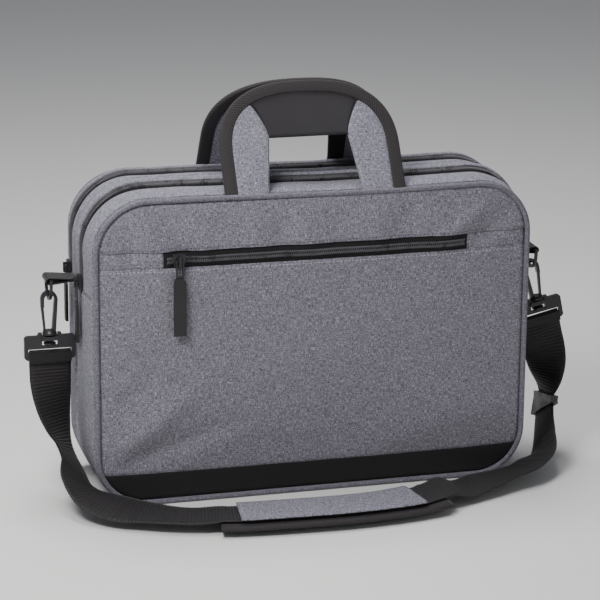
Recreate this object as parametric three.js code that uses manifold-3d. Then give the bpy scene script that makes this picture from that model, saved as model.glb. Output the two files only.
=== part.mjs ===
// Laptop messenger bag: two zipped compartments, a zipped front pocket, two arch handles
// and a hooked-on shoulder strap that lies on the ground in front of the bag.
// Millimetres, +Z up. X runs along the bag's width, -Y is the front.
// The origin is on the ground under the middle of the bag.
import * as THREE from 'three';
import { mergeVertices } from 'three/addons/utils/BufferGeometryUtils.js';
import Module from 'manifold-3d';

const wasm = await Module();
wasm.setup();

// ---- driving dimensions ----
const WIDTH = 400;
const HEIGHT = 280;
const DEPTH = 118;              // between the two piping rings
const TOP_RADIUS = 50;
const BASE_RADIUS = 46;
const FOLD_Z = 190;             // the compartment zips end here
const PANEL_FOLD_Z = 168;       // the front and rear panels bend here when the bag opens
const CLOTH = 2.4;              // padded cloth wall
const GAP = 0.4;                // between neighbouring pieces
const PANEL_BULGE = 8;
const GUSSET_BOW = 3;
const PIPING_RADIUS = 2.6;
const FRONT_ZIP_Y = -20;
const REAR_ZIP_Y = 31;
const DIVIDER_Y = 6;
const ZIP_HALF = 5;             // half the width of the tape that shows
const POCKET_LOW = 218;
const POCKET_HIGH = 233;
const POCKET_HALF = 140;
const BASE_STRIP_TOP = 30;
const HANDLE_HALF = 82;
const HANDLE_RISE = 98;
const HANDLE_LEAN = 31 * Math.PI / 180;
const HANDLE_FOOT_Y = 54;
const HANDLE_FOOT_Z = 284;
const LEG_WIDTH = 28;
const BINDING_WIDTH = 12;
const GRIP_DEPTH = 40;
const HANDLE_THICK = 5;
const WEBBING = 38;
const WEBBING_THICK = 1.8;
const LEFT_HOOK_X = 228.5;       // hooking point, out from the middle
const RIGHT_HOOK_X = 224;
const HOOK_Z = 180;
const RIGHT_TILT = -12 * Math.PI / 180;

const GREY = '#8a8792';
const PALE_GREY = '#97939f';
const BLACK = '#1b1719';
const DARK = '#2c282b';
const PLASTIC = '#232125';

const group = new THREE.Group();
const halfDepth = DEPTH / 2;

function add(name, geometry, colour, roughness = 0.9, parent = group) {
  const material = new THREE.MeshStandardMaterial({ color: colour, roughness, metalness: 0 });
  const mesh = new THREE.Mesh(geometry, material);
  mesh.name = name;
  parent.add(mesh);
  return mesh;
}

// ---- the bag's outline: a rounded rectangle, measured round from the middle of the base ----
const baseRun = WIDTH / 2 - BASE_RADIUS;
const baseArc = BASE_RADIUS * Math.PI / 2;
const sideRun = HEIGHT - BASE_RADIUS - TOP_RADIUS;
const topArc = TOP_RADIUS * Math.PI / 2;
const topRun = WIDTH / 2 - TOP_RADIUS;
const HALF_GIRTH = baseRun + baseArc + sideRun + topArc + topRun;
const foldAt = baseRun + baseArc + FOLD_Z - BASE_RADIUS;

// A point on the outline at girth s, and the outward direction there.
function rim(s) {
  const side = s < 0 ? -1 : 1;
  let t = Math.abs(s);
  let x = 0;
  let z = 0;
  let angle = -Math.PI / 2;
  if (t <= baseRun) {
    x = t;
  } else if ((t -= baseRun) <= baseArc) {
    angle += t / BASE_RADIUS;
    x = baseRun + BASE_RADIUS * Math.cos(angle);
    z = BASE_RADIUS + BASE_RADIUS * Math.sin(angle);
  } else if ((t -= baseArc) <= sideRun) {
    angle = 0;
    x = WIDTH / 2;
    z = BASE_RADIUS + t;
  } else if ((t -= sideRun) <= topArc) {
    angle = t / TOP_RADIUS;
    x = topRun + TOP_RADIUS * Math.cos(angle);
    z = HEIGHT - TOP_RADIUS + TOP_RADIUS * Math.sin(angle);
  } else {
    angle = Math.PI / 2;
    x = topRun - (t - topArc);
    z = HEIGHT;
  }
  return { x: side * x, z, nx: side * Math.cos(angle), nz: Math.sin(angle) };
}

// Girth stations from a to b: close together round the corners, far apart on the straights.
function stations(a, b) {
  const marks = [baseRun, baseRun + baseArc, baseRun + baseArc + sideRun];
  marks.push(marks[2] + topArc);
  const corners = [[marks[0], marks[1]], [marks[2], marks[3]]];
  const list = [a, b];
  for (const sign of [-1, 1]) {
    for (const [from, to] of corners) {
      for (let i = 0; i <= 6; i++) {
        list.push(sign * (from + (to - from) * i / 6));
      }
    }
  }
  list.push(0, HALF_GIRTH, -HALF_GIRTH);
  return [...new Set(list)].filter((s) => s >= a && s <= b).sort((p, q) => p - q);
}

// A closed sheet between an outer and an inner grid of points, grid[i][j].
function sheet(outer, inner) {
  const rows = outer.length;
  const columns = outer[0].length;
  const points = [...outer.flat(), ...inner.flat()];
  const at = (i, j, k) => k * rows * columns + i * columns + j;
  const faces = [];
  const quad = (a, b, c, d) => faces.push(a, b, c, a, c, d);
  for (let i = 0; i + 1 < rows; i++) {
    for (let j = 0; j + 1 < columns; j++) {
      quad(at(i, j, 0), at(i + 1, j, 0), at(i + 1, j + 1, 0), at(i, j + 1, 0));
      quad(at(i, j, 1), at(i, j + 1, 1), at(i + 1, j + 1, 1), at(i + 1, j, 1));
    }
  }
  for (let i = 0; i + 1 < rows; i++) {
    quad(at(i, 0, 0), at(i, 0, 1), at(i + 1, 0, 1), at(i + 1, 0, 0));
    quad(at(i, columns - 1, 0), at(i + 1, columns - 1, 0), at(i + 1, columns - 1, 1), at(i, columns - 1, 1));
  }
  for (let j = 0; j + 1 < columns; j++) {
    quad(at(0, j, 0), at(0, j + 1, 0), at(0, j + 1, 1), at(0, j, 1));
    quad(at(rows - 1, j, 0), at(rows - 1, j, 1), at(rows - 1, j + 1, 1), at(rows - 1, j + 1, 0));
  }
  return solidOf(points.map((p) => [p.x, p.y, p.z]).flat(), faces);
}

// Turns a closed shell outwards when its volume comes out negative.
function solidOf(positions, faces) {
  let volume = 0;
  const vertex = (i) => new THREE.Vector3().fromArray(positions, 3 * i);
  for (let i = 0; i < faces.length; i += 3) {
    volume += vertex(faces[i]).dot(vertex(faces[i + 1]).cross(vertex(faces[i + 2])));
  }
  const index = volume < 0 ? [...faces].reverse() : faces;
  const geometry = new THREE.BufferGeometry();
  geometry.setAttribute('position', new THREE.Float32BufferAttribute(positions, 3));
  geometry.setIndex(index);
  return geometry;
}

const bow = (y) => GUSSET_BOW * (1 - (y / halfDepth) ** 2);

// A strip of gusset from girth a to b and from front y0 to rear y1. The base stays flat.
function gusset(a, b, y0, y1) {
  const grid = (inset) => stations(a, b).map((s) => {
    const r = rim(s);
    return [0, 1 / 3, 2 / 3, 1].map((v) => {
      const y = y0 + (y1 - y0) * v;
      const out = bow(y) * Math.min(1, Math.max(0, r.z / 60)) - inset;
      return new THREE.Vector3(r.x + r.nx * out, y, r.z + r.nz * out);
    });
  });
  return sheet(grid(0), grid(CLOTH));
}

// The upper strips run from the right fold, over the top, to the left fold.
function upper(y0, y1, thick = CLOTH, lift = 0) {
  const run = stations(foldAt + GAP, HALF_GIRTH);
  const all = [...run, ...run.slice(0, -1).reverse().map((s) => -s)];
  const grid = (inset) => all.map((s) => {
    const r = rim(s);
    return [0, 1 / 2, 1].map((v) => {
      const y = y0 + (y1 - y0) * v;
      const out = bow(y) + lift - inset;
      return new THREE.Vector3(r.x + r.nx * out, y, r.z + r.nz * out);
    });
  });
  return sheet(grid(0), grid(thick));
}

// ---- front and rear panels: crowned sheets inside the piping ----
const PANEL_INSET = 2 * (PIPING_RADIUS + GAP);
const panelHalf = WIDTH / 2 - PANEL_INSET;

function panelLimits(x) {
  const edge = (radius) => {
    const r = radius - PANEL_INSET;
    const over = Math.max(0, Math.abs(x) - (panelHalf - r));
    return r - Math.sqrt(Math.max(0, r * r - over * over));
  };
  return [PANEL_INSET + edge(BASE_RADIUS), HEIGHT - PANEL_INSET - edge(TOP_RADIUS)];
}

// Half the panel's width at height z.
function halfAt(z) {
  const radius = z < HEIGHT / 2 ? BASE_RADIUS : TOP_RADIUS;
  const r = radius - PANEL_INSET;
  const over = Math.max(0, z < HEIGHT / 2 ? radius - z : z - HEIGHT + radius);
  return panelHalf - r + Math.sqrt(Math.max(0, r * r - over * over));
}

function bulge(x, z) {
  const u = Math.min(1, Math.abs(x) / panelHalf);
  const v = Math.min(1, Math.abs(z - HEIGHT / 2) / (HEIGHT / 2 - PANEL_INSET));
  return PANEL_BULGE * (1 - u ** 4) * (1 - v ** 4);
}

// A piece of panel on side -1 (front) or 1 (rear), from x0 to x1 and from z0 to z1.
function panel(side, z0, z1, from = -panelHalf, to = panelHalf, columns = 16, thick = CLOTH) {
  const widest = Math.max(halfAt(z0 + 1), halfAt(z1 - 1));
  const x0 = Math.max(from, -widest);
  const x1 = Math.min(to, widest);
  const grid = (inset) => Array.from({ length: columns + 1 }, (_, i) => {
    // the stations crowd towards the panel's ends, where its corners are round
    const t = i / columns;
    const wide = x1 - x0 > panelHalf;
    const x = wide ? x1 * -Math.cos(Math.PI * t) : x0 + (x1 - x0) * t;
    const [low, high] = panelLimits(x);
    const bottom = Math.min(Math.max(z0, low), z1 - 1);
    const top = Math.max(Math.min(z1, high), z0 + 1);
    return [0, 0.25, 0.5, 0.75, 1].map((v) => {
      const z = bottom + (top - bottom) * v;
      return new THREE.Vector3(x, side * (halfDepth + bulge(x, z) - inset), z);
    });
  });
  return sheet(grid(0), grid(thick));
}

// ---- extruded outlines ----
function shapeOf(points, holes = []) {
  const outline = points.map(([x, y]) => new THREE.Vector2(x, y));
  const shape = new THREE.Shape(THREE.ShapeUtils.isClockWise(outline) ? outline.reverse() : outline);
  for (const hole of holes) {
    shape.holes.push(new THREE.Path(hole.map(([x, y]) => new THREE.Vector2(x, y))));
  }
  return shape;
}

// Extrudes an outline drawn in X and Z through `thick` in Y, centred on Y = 0.
function slab(points, thick, holes = []) {
  const geometry = new THREE.ExtrudeGeometry(shapeOf(points, holes), { depth: thick, bevelEnabled: false });
  geometry.translate(0, 0, -thick / 2);
  geometry.rotateX(Math.PI / 2);
  return geometry;
}

function solid(geometry) {
  const bare = geometry.clone();
  bare.deleteAttribute('normal');
  bare.deleteAttribute('uv');
  const merged = mergeVertices(bare, 1e-4);
  const vertProperties = new Float32Array(merged.attributes.position.array);
  const triVerts = new Uint32Array(merged.index.array);
  return new wasm.Manifold(new wasm.Mesh({ numProp: 3, vertProperties, triVerts }));
}

function geometryOf(manifold) {
  const mesh = manifold.getMesh();
  const geometry = new THREE.BufferGeometry();
  geometry.setAttribute('position', new THREE.Float32BufferAttribute(mesh.vertProperties, 3));
  geometry.setIndex([...mesh.triVerts]);
  return geometry;
}

const joined = (...parts) => geometryOf(parts.map(solid).reduce((a, b) => a.add(b)));
const cut = (body, ...tools) => geometryOf(tools.map(solid).reduce((a, b) => a.subtract(b), solid(body)));

function tube(curve, steps, radius, sides = 8) {
  const ring = Array.from({ length: sides }, (_, i) => {
    const a = 2 * Math.PI * (i + 0.5) / sides;
    return [radius * Math.cos(a), radius * Math.sin(a)];
  });
  return new THREE.ExtrudeGeometry(shapeOf(ring), { steps, extrudePath: curve, bevelEnabled: false });
}

// ---- piping: a cord in a fabric sleeve, round each panel ----
class RimCurve extends THREE.Curve {
  constructor(a, b, y, over = false) {
    super();
    this.a = a;
    this.b = b;
    this.y = y;
    this.over = over;
  }

  getPoint(t, target = new THREE.Vector3()) {
    let s = this.a + (this.b - this.a) * t;
    if (this.over && s > HALF_GIRTH) {
      s -= 2 * HALF_GIRTH;
    }
    const r = rim(s);
    return target.set(r.x - r.nx * PIPING_RADIUS, this.y, r.z - r.nz * PIPING_RADIUS);
  }
}

const upperGirth = [foldAt + GAP, 2 * HALF_GIRTH - foldAt - GAP];

function piping(y, isUpper) {
  return isUpper
    ? tube(new RimCurve(...upperGirth, y, true), 44, PIPING_RADIUS)
    : tube(new RimCurve(-foldAt + GAP, foldAt - GAP, y), 44, PIPING_RADIUS);
}

const seam = halfDepth - PIPING_RADIUS - GAP;
for (const [end, side] of [['front', -1], ['rear', 1]]) {
  add(`${end}_piping_lower`, piping(side * halfDepth, false), GREY);
  add(`${end}_piping_upper`, piping(side * halfDepth, true), GREY);
}

// ---- gussets, zips and the divider ----
add('side_and_base_gusset', gusset(-foldAt + GAP, foldAt - GAP, -seam, seam), PALE_GREY);
add('front_top_gusset', upper(-seam, FRONT_ZIP_Y - ZIP_HALF - GAP), PALE_GREY);
add('middle_top_gusset', upper(FRONT_ZIP_Y + ZIP_HALF + GAP, REAR_ZIP_Y - ZIP_HALF - GAP), PALE_GREY);
add('rear_top_gusset', upper(REAR_ZIP_Y + ZIP_HALF + GAP, seam), PALE_GREY);

// Each zip is two woven tapes with half of the coil on each, meeting in the middle.
for (const [end, y, outwards] of [['front', FRONT_ZIP_Y, -1], ['rear', REAR_ZIP_Y, 1]]) {
  for (const [which, side] of [['flap', outwards], ['middle', -outwards]]) {
    const edges = [y + side * GAP / 2, y + side * ZIP_HALF].sort((a, b) => a - b);
    add(`${end}_zip_half_${which}`, upper(...edges, 1.4, -0.8), BLACK);
  }
}

function dividerOutline() {
  const inset = CLOTH + 2;
  const list = [];
  for (const s of stations(-HALF_GIRTH + 1, HALF_GIRTH)) {
    const r = rim(s);
    list.push([r.x - r.nx * inset, r.z - r.nz * inset]);
  }
  return list;
}
const divider = slab(dividerOutline(), 4);
divider.translate(0, DIVIDER_Y, 0);
add('padded_divider', divider, BLACK);

// ---- front panel, cut by the pocket zip and the base strip, and the rear panel ----
add('front_base_strip', panel(-1, 0, BASE_STRIP_TOP), BLACK);
add('front_panel_lower', panel(-1, BASE_STRIP_TOP + GAP, PANEL_FOLD_Z - GAP), GREY);
add('front_panel_upper', panel(-1, PANEL_FOLD_Z + GAP, POCKET_LOW - GAP), GREY);
add('front_yoke', panel(-1, POCKET_HIGH + GAP, HEIGHT), GREY);
add('rear_panel_lower', panel(1, 0, PANEL_FOLD_Z - GAP), GREY);
add('rear_panel_upper', panel(1, PANEL_FOLD_Z + GAP, HEIGHT), GREY);
for (const [end, side] of [['left', -1], ['right', 1]]) {
  const x = [side * (POCKET_HALF + GAP), side * panelHalf].sort((a, b) => a - b);
  add(`pocket_zip_end_${end}`, panel(-1, POCKET_LOW, POCKET_HIGH, ...x, 4), GREY);
}
const pocketMiddle = (POCKET_LOW + POCKET_HIGH) / 2;
add('pocket_zip_tape', panel(-1, POCKET_LOW, POCKET_HIGH, -POCKET_HALF, POCKET_HALF, 14, 1.2), BLACK);

function frontPatch(z0, z1, x0, x1, columns, lift, thick) {
  const piece = panel(-1, z0, z1, x0, x1, columns, thick);
  piece.translate(0, -lift, 0);
  return piece;
}
const coilHalf = 2.2;
add('pocket_zip_coil', frontPatch(pocketMiddle - coilHalf, pocketMiddle + coilHalf,
  -POCKET_HALF + 4, POCKET_HALF - 4, 14, 2, 1.6), DARK, 0.5);
const lining = panel(-1, 62, PANEL_FOLD_Z - 2, -POCKET_HALF, POCKET_HALF, 10, 1);
lining.translate(0, CLOTH + GAP, 0);
add('pocket_lining', lining, BLACK);

// ---- handles: two leaning arches, each with two legs, a grip and a woven binding ----
// Arch coordinates: x across, h up the lean of the handle. Straight legs rise to ARCH_SPRING, and
// a rounded-off half ellipse closes the arch above them.
const ARCH_SPRING = 30;
const ARCH_POWER = 2.6;

function arch(inset) {
  const half = HANDLE_HALF - inset;
  const rise = HANDLE_RISE - inset - ARCH_SPRING;
  const round = Array.from({ length: 25 }, (_, i) => {
    const a = Math.PI * i / 24;
    const c = Math.cos(a);
    const x = half * Math.sign(c) * Math.abs(c) ** (2 / ARCH_POWER);
    return [x, ARCH_SPRING + rise * Math.abs(Math.sin(a)) ** (2 / ARCH_POWER)];
  });
  return [[half, 0], ...round, [-half, 0]];
}

const gripBottom = HANDLE_RISE - BINDING_WIDTH - GRIP_DEPTH;
const bindingShape = [...arch(0), ...arch(BINDING_WIDTH).reverse()];
const innerEdge = HANDLE_HALF - BINDING_WIDTH - LEG_WIDTH;
const mitreOut = HANDLE_HALF - BINDING_WIDTH - 12;

// Everything under the binding, as one plate that the legs and the grip are cut from.
const underBinding = slab(arch(BINDING_WIDTH + GAP), HANDLE_THICK - 1);
const legBlank = (side) => slab([
  [side * innerEdge, -1], [side * (innerEdge - 3), gripBottom],
  [side * mitreOut, HANDLE_RISE], [side * 100, HANDLE_RISE], [side * 100, -1],
], 20);
const gripBlank = slab([
  [innerEdge - 3 - GAP, gripBottom], [mitreOut - GAP, HANDLE_RISE],
  [-mitreOut + GAP, HANDLE_RISE], [-innerEdge + 3 + GAP, gripBottom],
], 20);
const both = (a, b) => geometryOf(solid(a).intersect(solid(b)));

for (const [end, side] of [['front', -1], ['rear', 1]]) {
  const handle = new THREE.Group();
  handle.position.set(0, side * HANDLE_FOOT_Y, HANDLE_FOOT_Z);
  handle.rotation.x = side * HANDLE_LEAN;
  group.add(handle);
  add(`${end}_handle_left_leg`, both(underBinding, legBlank(-1)), PALE_GREY, 0.9, handle);
  add(`${end}_handle_right_leg`, both(underBinding, legBlank(1)), PALE_GREY, 0.9, handle);
  add(`${end}_handle_grip`, both(underBinding, gripBlank), BLACK, 0.8, handle);
  add(`${end}_handle_binding`, slab(bindingShape, HANDLE_THICK), DARK, 0.8, handle);
}

// ---- zip sliders, their rings and pulls ----
const box = (w, d, h, x = 0, y = 0, z = 0) => {
  const piece = new THREE.BoxGeometry(w, d, h);
  piece.translate(x, y, z);
  return piece;
};

// A slider lying on a zip that faces -Y, with a bail on its top face.
function slider() {
  const body = slab([[-4, -6], [4, -6], [5.5, 1], [5.5, 6], [-5.5, 6], [-5.5, 1]], 2.4);
  const bail = cut(box(2.4, 4, 9, 0, -3, 0), box(4, 2, 5.6, 0, -2.6, 0));
  return joined(body, bail);
}

// A wire ring through the bail, and a flat tab on it. The ring's top is at the pull's origin.
function pullRing(length) {
  return slab([[-3.4, 1], [3.4, 1], [3.4, -length], [-3.4, -length]], 1.4,
    [[[-2.1, -0.4], [-2.1, 1.4 - length], [2.1, 1.4 - length], [2.1, -0.4]]]);
}

function pullTab(length, width) {
  const h = width / 2;
  return slab([[-h + 2, 0], [h - 2, 0], [h, -4], [h, -length], [-h, -length], [-h, -4]], 2.4);
}

function zipPull(name, slot, ringLength, tabLength, tabWidth) {
  add(`${name}_slider`, slider(), PLASTIC, 0.4, slot);
  const ring = pullRing(ringLength);
  ring.translate(0, -2.6, 0.6);
  add(`${name}_ring`, ring, PLASTIC, 0.4, slot);
  const tab = pullTab(tabLength, tabWidth);
  tab.translate(0, -2.6, 0.2 - ringLength);
  add(`${name}_tab`, tab, BLACK, 0.7, slot);
}

const pocketPull = new THREE.Group();
pocketPull.position.set(-POCKET_HALF + 14, -halfDepth - bulge(0, pocketMiddle) - 3.8, pocketMiddle);
group.add(pocketPull);
zipPull('pocket', pocketPull, 15, 52, 11);

const sidePullX = -WIDTH / 2 - GUSSET_BOW - 1.8;
for (const [end, y, ring] of [['front', FRONT_ZIP_Y, 17], ['rear', REAR_ZIP_Y, 12]]) {
  const pull = new THREE.Group();
  pull.position.set(sidePullX, y, FOLD_Z + 9);
  pull.rotation.z = -Math.PI / 2;
  group.add(pull);
  zipPull(`${end}_zip`, pull, ring, 38, 8);
}

// ---- strap hardware: tab, D-ring, snap hook, gate and strap buckle ----
// Local frame of one side: origin where the hook hangs in the ring, +X away from the bag.
const RING_ROD = 2.6;
const TAB_DEPTH = 22;
const RING_DROP = 17.8;         // from the ring's hinge bar down to the hooking point
const HOOK_THICK = 5;
const FRAME_HALF = 23;
const FRAME_INNER = 19.6;

function dRing() {
  const halfBar = TAB_DEPTH / 2 + 1 + RING_ROD;
  const shoulder = -4.4;
  const curve = (half, drop) => Array.from({ length: 13 }, (_, i) => {
    const a = Math.PI * i / 12;
    return [half * Math.cos(a), shoulder - (drop + shoulder) * Math.sin(a)];
  });
  const top = RING_ROD / 2;
  const outer = [[halfBar, top], ...curve(halfBar, RING_DROP + top), [-halfBar, top]];
  const inner = curve(halfBar - RING_ROD, RING_DROP - top);
  const hole = [[halfBar - RING_ROD, -top], ...inner, [RING_ROD - halfBar, -top]];
  const ring = slab(outer, RING_ROD, [hole]);
  ring.rotateZ(Math.PI / 2);
  ring.translate(0, 0, RING_DROP);
  return ring;
}

// Webbing folded round the ring's bar and sewn to the side of the bag.
function ringTab(hookX) {
  const inner = -(hookX - WIDTH / 2 - GUSSET_BOW - GAP);
  const length = 4 - inner;
  const band = box(length, TAB_DEPTH, 6.6, inner + length / 2, 0, RING_DROP);
  return cut(band, box(4.2, TAB_DEPTH + 2, 4.2, 0, 0, RING_DROP));
}

// The hook: a shank beside the bag, a round nose away from it, and a turned swivel below.
function snapHook() {
  const arc = (rx, rz) => Array.from({ length: 11 }, (_, i) => {
    const a = Math.PI * i / 10;
    return [rx * Math.cos(a), rz * Math.sin(a) - 1];
  });
  const outline = [
    [7.6, -8], ...arc(7.6, 8), [-5.5, -31], [5.6, -31], [5.6, -29.5], [-2, -29.5],
    ...arc(4.6, 4.8).reverse(), [4.6, -8],
  ];
  const swivel = new THREE.LatheGeometry([
    [0, -42], [5.6, -42], [5.6, -40.8], [2, -39.6], [2, -33], [6.4, -32.8],
    [6.4, -31.2], [5, -29.5], [0, -29.5],
  ].map(([r, z]) => new THREE.Vector2(r, z)), 14);
  swivel.rotateX(Math.PI / 2);
  return joined(slab(outline, HOOK_THICK), swivel);
}

const gate = () => slab([[5, -8.6], [7.4, -8.6], [5.4, -29.1], [3.4, -29.1]], 3);

// The buckle: ears and an eye for the swivel above a slot, and a bar that carries the webbing.
function buckle() {
  const plate = slab([
    [-FRAME_HALF, -54], [-FRAME_HALF, -36], [-21, -34], [-11, -34], [-10, -31.5], [-7, -31.5],
    [-7, -43.6], [7, -43.6], [7, -31.5], [10, -31.5], [11, -34], [21, -34], [FRAME_HALF, -36],
    [FRAME_HALF, -54], [21, -56], [-21, -56],
  ], 4, [[[-FRAME_INNER, -46], [FRAME_INNER, -46], [FRAME_INNER, -52], [-FRAME_INNER, -52]]]);
  const eye = cut(box(15, 9.4, 3.6, 0, 0, -36.4), box(6.6, 6.6, 10, 0, 0, -36.4));
  return joined(plate, eye);
}

// The webbing's end, folded round the buckle's bar.
function strapEnd() {
  return cut(box(WEBBING, 7.6, 8.4, 0, 0, -54), box(WEBBING + 2, 4.6, 4.8, 0, 0, -54));
}

function hardware(end, side, hookX) {
  const slot = new THREE.Group();
  slot.position.set(side * hookX, 0, HOOK_Z);
  slot.rotation.z = side < 0 ? Math.PI : 0;
  group.add(slot);
  const lean = new THREE.Group();
  lean.rotation.y = side < 0 ? 0 : RIGHT_TILT;
  slot.add(lean);
  add(`${end}_d_ring`, dRing(), PLASTIC, 0.35, slot);
  add(`${end}_ring_tab`, ringTab(hookX), BLACK, 0.85, slot);
  add(`${end}_snap_hook`, snapHook(), PLASTIC, 0.35, lean);
  add(`${end}_hook_gate`, gate(), PLASTIC, 0.35, lean);
  add(`${end}_strap_buckle`, buckle(), PLASTIC, 0.35, lean);
  add(`${end}_strap_end`, strapEnd(), BLACK, 0.85, lean);
}
hardware('left', -1, LEFT_HOOK_X);
hardware('right', 1, RIGHT_HOOK_X);

// ---- shoulder strap: where its middle runs, and which way its width lies there ----
const STRAP_ROUTE = [
  [-228.5, 0, 121.3, 1, 0, 0], [-228.5, -1, 102, 1, 0.15, 0], [-227, -4, 82, 0.9, 0.45, 0],
  [-224, -9, 63, 0.7, 0.7, -0.1], [-220, -17, 47, 0.5, 0.8, -0.3],
  [-215, -32, 33, 0.6, 0.55, -0.5], [-214, -52, 23, 0.75, 0.35, -0.35],
  [-204, -78, 16, 0.7, 0.6, 0.1], [-187, -96, 13, 0.5, 0.8, 0.25],
  [-167, -107, 12, 0.35, 0.92, 0.15], [-146, -117, 11, 0.15, 0.98, 0.06],
  [-124, -124, 10.5, 0.05, 1, 0.03], [-104, -128, 12, 0, 1, 0], [-88, -131, 12, 0, 1, 0],
  [-48, -135, 12.5, 0, 1, 0], [2, -137, 12.5, 0, 1, 0], [42, -135, 12.5, 0, 1, 0],
  [74, -130, 13, 0, 1, 0.03], [94, -125, 15, 0, 1, 0.06], [108, -119, 15, -0.1, 0.97, 0.1],
  [124, -112, 9, -0.2, 0.97, 0.1], [146, -103, 11, -0.3, 0.95, 0.05],
  [167, -94, 12, -0.35, 0.93, -0.1], [191, -85, 14, -0.5, 0.84, -0.2],
  [212, -64, 16, -0.7, 0.58, -0.35], [226, -42, 19, -0.5, 0.38, -0.78],
  [235, -20, 27, -0.3, 0.5, -0.8], [241, -5, 40, -0.1, 0.88, -0.45], [244, 0, 54, 0, 1, -0.1],
  [244, 1, 73, -0.55, 0.83, 0], [242.5, 1, 92, -0.93, 0.35, 0], [239.4, 0, 109, -1, 0, -0.1],
  [236.3, 0, 122.2, -0.98, 0, -0.2],
];

const STEPS_PER_POINT = 3;

// A band that follows the strap from route point `from` to `to`, `lift` above its middle.
function ribbon(from, to, width, thick, lift = 0) {
  const last = STRAP_ROUTE.length - 1;
  const middle = new THREE.CatmullRomCurve3(STRAP_ROUTE.map((p) => new THREE.Vector3(p[0], p[1], p[2])));
  const spread = new THREE.CatmullRomCurve3(STRAP_ROUTE.map((p) => new THREE.Vector3(p[3], p[4], p[5])));
  const steps = (to - from) * STEPS_PER_POINT;
  const face = (depth) => Array.from({ length: steps + 1 }, (_, i) => {
    const t = (from + i / STEPS_PER_POINT) / last;
    const along = middle.getTangent(t);
    const across = spread.getPoint(t);
    across.addScaledVector(along, -across.dot(along)).normalize();
    const normal = new THREE.Vector3().crossVectors(along, across);
    return [-0.5, 0, 0.5].map((v) => middle.getPoint(t).addScaledVector(across, v * width)
      .addScaledVector(normal, depth));
  });
  return sheet(face(lift + thick / 2), face(lift - thick / 2));
}
add('shoulder_strap', ribbon(0, STRAP_ROUTE.length - 1, WEBBING, WEBBING_THICK), BLACK, 0.85);

// ---- shoulder pad, under and over the webbing ----
const PAD_FROM = 12;
const PAD_TO = 18;
const PAD_THICK = 7;
const COVER_THICK = 1.4;
const touching = WEBBING_THICK / 2 + 3 * GAP;
add('shoulder_pad', ribbon(PAD_FROM, PAD_TO, 58, PAD_THICK, -touching - PAD_THICK / 2), BLACK, 0.85);
add('shoulder_pad_cover', ribbon(PAD_FROM + 1, PAD_TO - 1, 44, COVER_THICK, touching + COVER_THICK / 2), GREY);

// ---- the slider that sets the strap's length, clasping the webbing on the right ----
const SLIDER_POINT = 27;
const clasp = ribbon(SLIDER_POINT, SLIDER_POINT + 1, WEBBING + 8, 7);
const throat = ribbon(SLIDER_POINT - 1, SLIDER_POINT + 2, WEBBING + 1.6, WEBBING_THICK + 1.2);
add('strap_slider', cut(clasp, throat), PLASTIC, 0.4);

export default group;
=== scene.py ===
"""Looks of the laptop messenger bag: heather canvas, black webbing, zips and moulded fittings."""
import math

import bmesh
import bpy
import numpy as np
from mathutils import Matrix, Vector, noise


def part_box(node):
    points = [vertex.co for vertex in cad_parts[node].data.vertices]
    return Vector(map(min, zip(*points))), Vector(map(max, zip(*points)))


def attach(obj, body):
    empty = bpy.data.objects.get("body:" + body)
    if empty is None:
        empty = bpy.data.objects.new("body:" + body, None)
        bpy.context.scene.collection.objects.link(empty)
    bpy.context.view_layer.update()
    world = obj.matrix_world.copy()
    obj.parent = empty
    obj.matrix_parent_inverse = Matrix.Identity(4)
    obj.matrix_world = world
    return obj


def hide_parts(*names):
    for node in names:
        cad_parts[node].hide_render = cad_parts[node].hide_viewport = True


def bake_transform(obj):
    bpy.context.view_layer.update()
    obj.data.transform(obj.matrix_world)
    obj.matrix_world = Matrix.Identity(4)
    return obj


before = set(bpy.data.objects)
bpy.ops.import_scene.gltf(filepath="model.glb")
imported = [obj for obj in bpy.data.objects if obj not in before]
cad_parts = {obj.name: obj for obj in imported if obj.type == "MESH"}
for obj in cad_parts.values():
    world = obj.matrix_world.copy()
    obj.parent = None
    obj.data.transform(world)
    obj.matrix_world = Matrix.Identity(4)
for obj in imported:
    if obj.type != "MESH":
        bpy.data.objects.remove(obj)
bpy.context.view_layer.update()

MM = 0.001

# ---- places and sizes, from the frame ----
PIPE_LOW, PIPE_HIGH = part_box("front_piping_upper")
REAR_LOW, REAR_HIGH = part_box("rear_piping_upper")
PIPE_R = (PIPE_HIGH[1] - PIPE_LOW[1]) / 2
HALF_W = PIPE_HIGH[0]
TOP_Z = PIPE_HIGH[2]
FOLD_Z = PIPE_LOW[2]
FRONT_Y = (PIPE_LOW[1] + PIPE_HIGH[1]) / 2
REAR_Y = (REAR_LOW[1] + REAR_HIGH[1]) / 2
HALF_D = (REAR_Y - FRONT_Y) / 2
TOP_R = 50 * MM
BASE_R = 46 * MM
CLOTH = 2.2 * MM
BOW = 3.8 * MM
BULGE = 9 * MM
FRONT_ZIP_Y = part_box("front_zip_half_flap")[1][1]
REAR_ZIP_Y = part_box("rear_zip_half_flap")[0][1]
DIVIDER_Y = sum(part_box("padded_divider")[k][1] for k in (0, 1)) / 2
ZIP_HALF = 4.6 * MM
POCKET_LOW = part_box("pocket_zip_tape")[0][2]
POCKET_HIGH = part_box("pocket_zip_tape")[1][2]
POCKET_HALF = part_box("pocket_zip_tape")[1][0]
STRIP_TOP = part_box("front_base_strip")[1][2]
HANDLE_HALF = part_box("front_handle_binding")[1][0]
HANDLE_RISE = 98 * MM
HANDLE_LEAN = math.radians(31)
HANDLE_FOOT = (54 * MM, 282 * MM)
BINDING = 12 * MM
LEG = 28 * MM
GRIP = 40 * MM
PANEL_FOLD_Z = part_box("front_panel_upper")[0][2]
WEBBING = 38 * MM
ZIP_RUN_OUT = 25 * MM
COIL_STEPS = 6

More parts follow.
